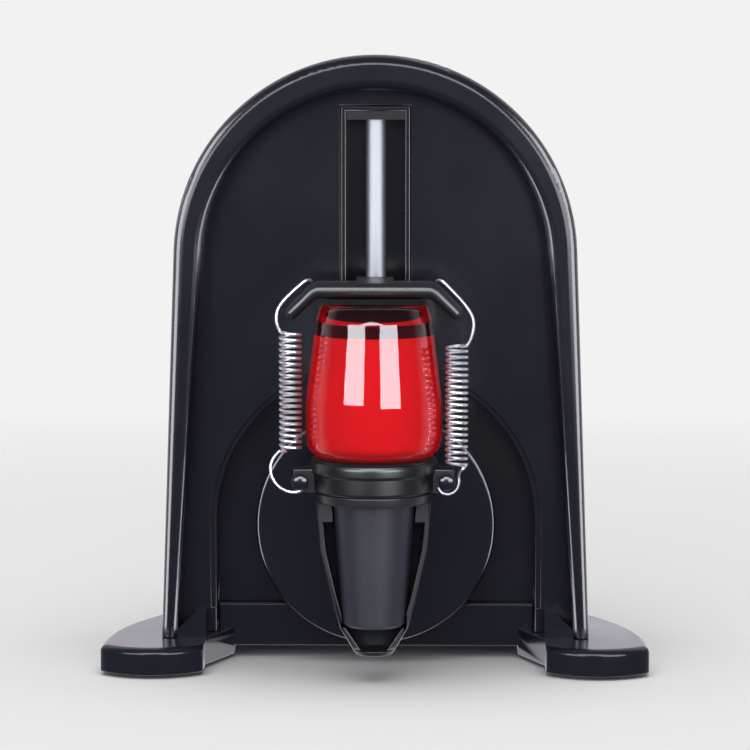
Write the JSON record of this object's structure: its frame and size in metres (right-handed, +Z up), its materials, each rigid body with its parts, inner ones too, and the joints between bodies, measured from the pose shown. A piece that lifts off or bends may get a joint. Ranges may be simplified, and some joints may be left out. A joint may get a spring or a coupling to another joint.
{
  "type": "nail polish shaker machine",
  "caption": "Arched electric stand whose turning crank disc shakes an upside-down nail polish bottle held in a sprung cup carrier on a guide rod.",
  "frame": {"origin": "centre of the part's box, on the surface it stands on", "axes": "+Z up, +Y towards the back (the disc and the bottle face -Y), +X to the right seen from the front"},
  "size_m": [0.1506, 0.097, 0.1694],
  "materials": {
    "black_gloss": "injection-moulded black ABS, polished",
    "black_satin": "moulded black ABS, fine satin",
    "dark_nylon": "glass-filled nylon",
    "rubber": "soft rubber",
    "steel_bright": "ground and polished steel",
    "steel_plain": "plain steel",
    "zinc": "zinc-plated steel",
    "spring_wire": "spring steel wire",
    "belt": "polyurethane flat belt",
    "magnet": "ferrite",
    "copper": "copper windings",
    "brass": "brass",
    "bronze": "sintered bronze",
    "board": "glass-epoxy board",
    "bottle_glass": "clear bottle glass",
    "lacquer": "wet red nail lacquer",
    "cap_black": "soft-touch black plastic"
  },
  "bodies": {
    "stand": {"base_tray": "black_satin", "bottom_plate": "black_satin", "rubber_feet": "rubber", "base_screws": "zinc", "front_shell": "black_gloss", "rear_cover": "black_satin", "rod_channel": "black_satin", "rod_seats": "black_satin", "guide_rod": "steel_bright", "bearing_housing": "dark_nylon", "housing_screws": "zinc", "front_bearing_outer": "steel_bright", "rear_bearing_outer": "steel_bright", "drive_belt": "belt", "motor_can": "steel_plain", "motor_end_cap": "dark_nylon", "motor_terminals": "brass", "motor_magnet_ring": "magnet", "motor_bracket": "zinc", "bracket_screws": "zinc", "button_bezel": "steel_bright", "switch_body": "dark_nylon", "power_jack": "dark_nylon", "power_jack_pin": "brass", "circuit_board": "board", "board_parts": "dark_nylon", "board_screws": "zinc", "cover_screws": "zinc"},
    "crank": {"crank_disc": "black_satin", "drive_shaft": "steel_plain", "counterweight": "steel_plain", "crank_pin": "steel_plain", "driven_pulley": "dark_nylon", "pulley_clip": "steel_plain", "front_bearing_inner": "steel_bright", "rear_bearing_inner": "steel_bright", "crank_bearing_inner": "steel_bright"},
    "rotor": {"motor_armature": "copper", "motor_shaft": "steel_plain", "motor_pulley": "brass"},
    "carriage": {"carrier_spine": "dark_nylon", "crank_bearing_outer": "steel_bright", "clamp_ring": "black_gloss", "spring_pins": "steel_bright", "ring_screws": "zinc", "bottle_cup": "black_satin", "spring_left": "spring_wire", "spring_right": "spring_wire", "bottle_glass": "bottle_glass", "bottle_lacquer": "lacquer", "bottle_cap": "cap_black"},
    "yoke": {"yoke": "black_satin", "yoke_pad": "rubber"},
    "slider": {"slider_block": "dark_nylon", "slider_bushes": "bronze", "pivot_pin": "steel_plain"},
    "button": {"power_button": "black_gloss"}
  },
  "joints": [
    {"name": "disc_spin", "type": "hinge", "parent": "stand", "child": "crank", "pos_m": [0, 0.0059, 0.039], "axis": [0, 1, 0], "continuous": true},
    {"name": "carriage_orbit", "type": "hinge", "parent": "crank", "child": "carriage", "pos_m": [0, -0.0083, 0.027], "axis": [0, 1, 0], "continuous": true},
    {"name": "motor_spin", "type": "hinge", "parent": "stand", "child": "rotor", "pos_m": [0.025, 0.0359, 0.101], "axis": [0, 1, 0], "continuous": true},
    {"name": "slider_travel", "type": "slide", "parent": "stand", "child": "slider", "axis": [0, 0, 1], "range_m": [0, 0.024]},
    {"name": "yoke_lift", "type": "slide", "parent": "carriage", "child": "yoke", "axis": [0, 0, 1], "range_m": [0, 0.01], "stiffness_N_per_m": 200, "springref_m": -0.01, "deforming": ["spring_left", "spring_right"]},
    {"name": "button_press", "type": "slide", "parent": "stand", "child": "button", "axis": [0, -1, 0], "range_m": [0, 0.002], "stiffness_N_per_m": 800}
  ],
  "couplings": [
    {"joint": "carriage_orbit", "follows": "disc_spin", "ratio": -1},
    {"joint": "motor_spin", "follows": "disc_spin", "ratio": 3.8889}
  ]
}
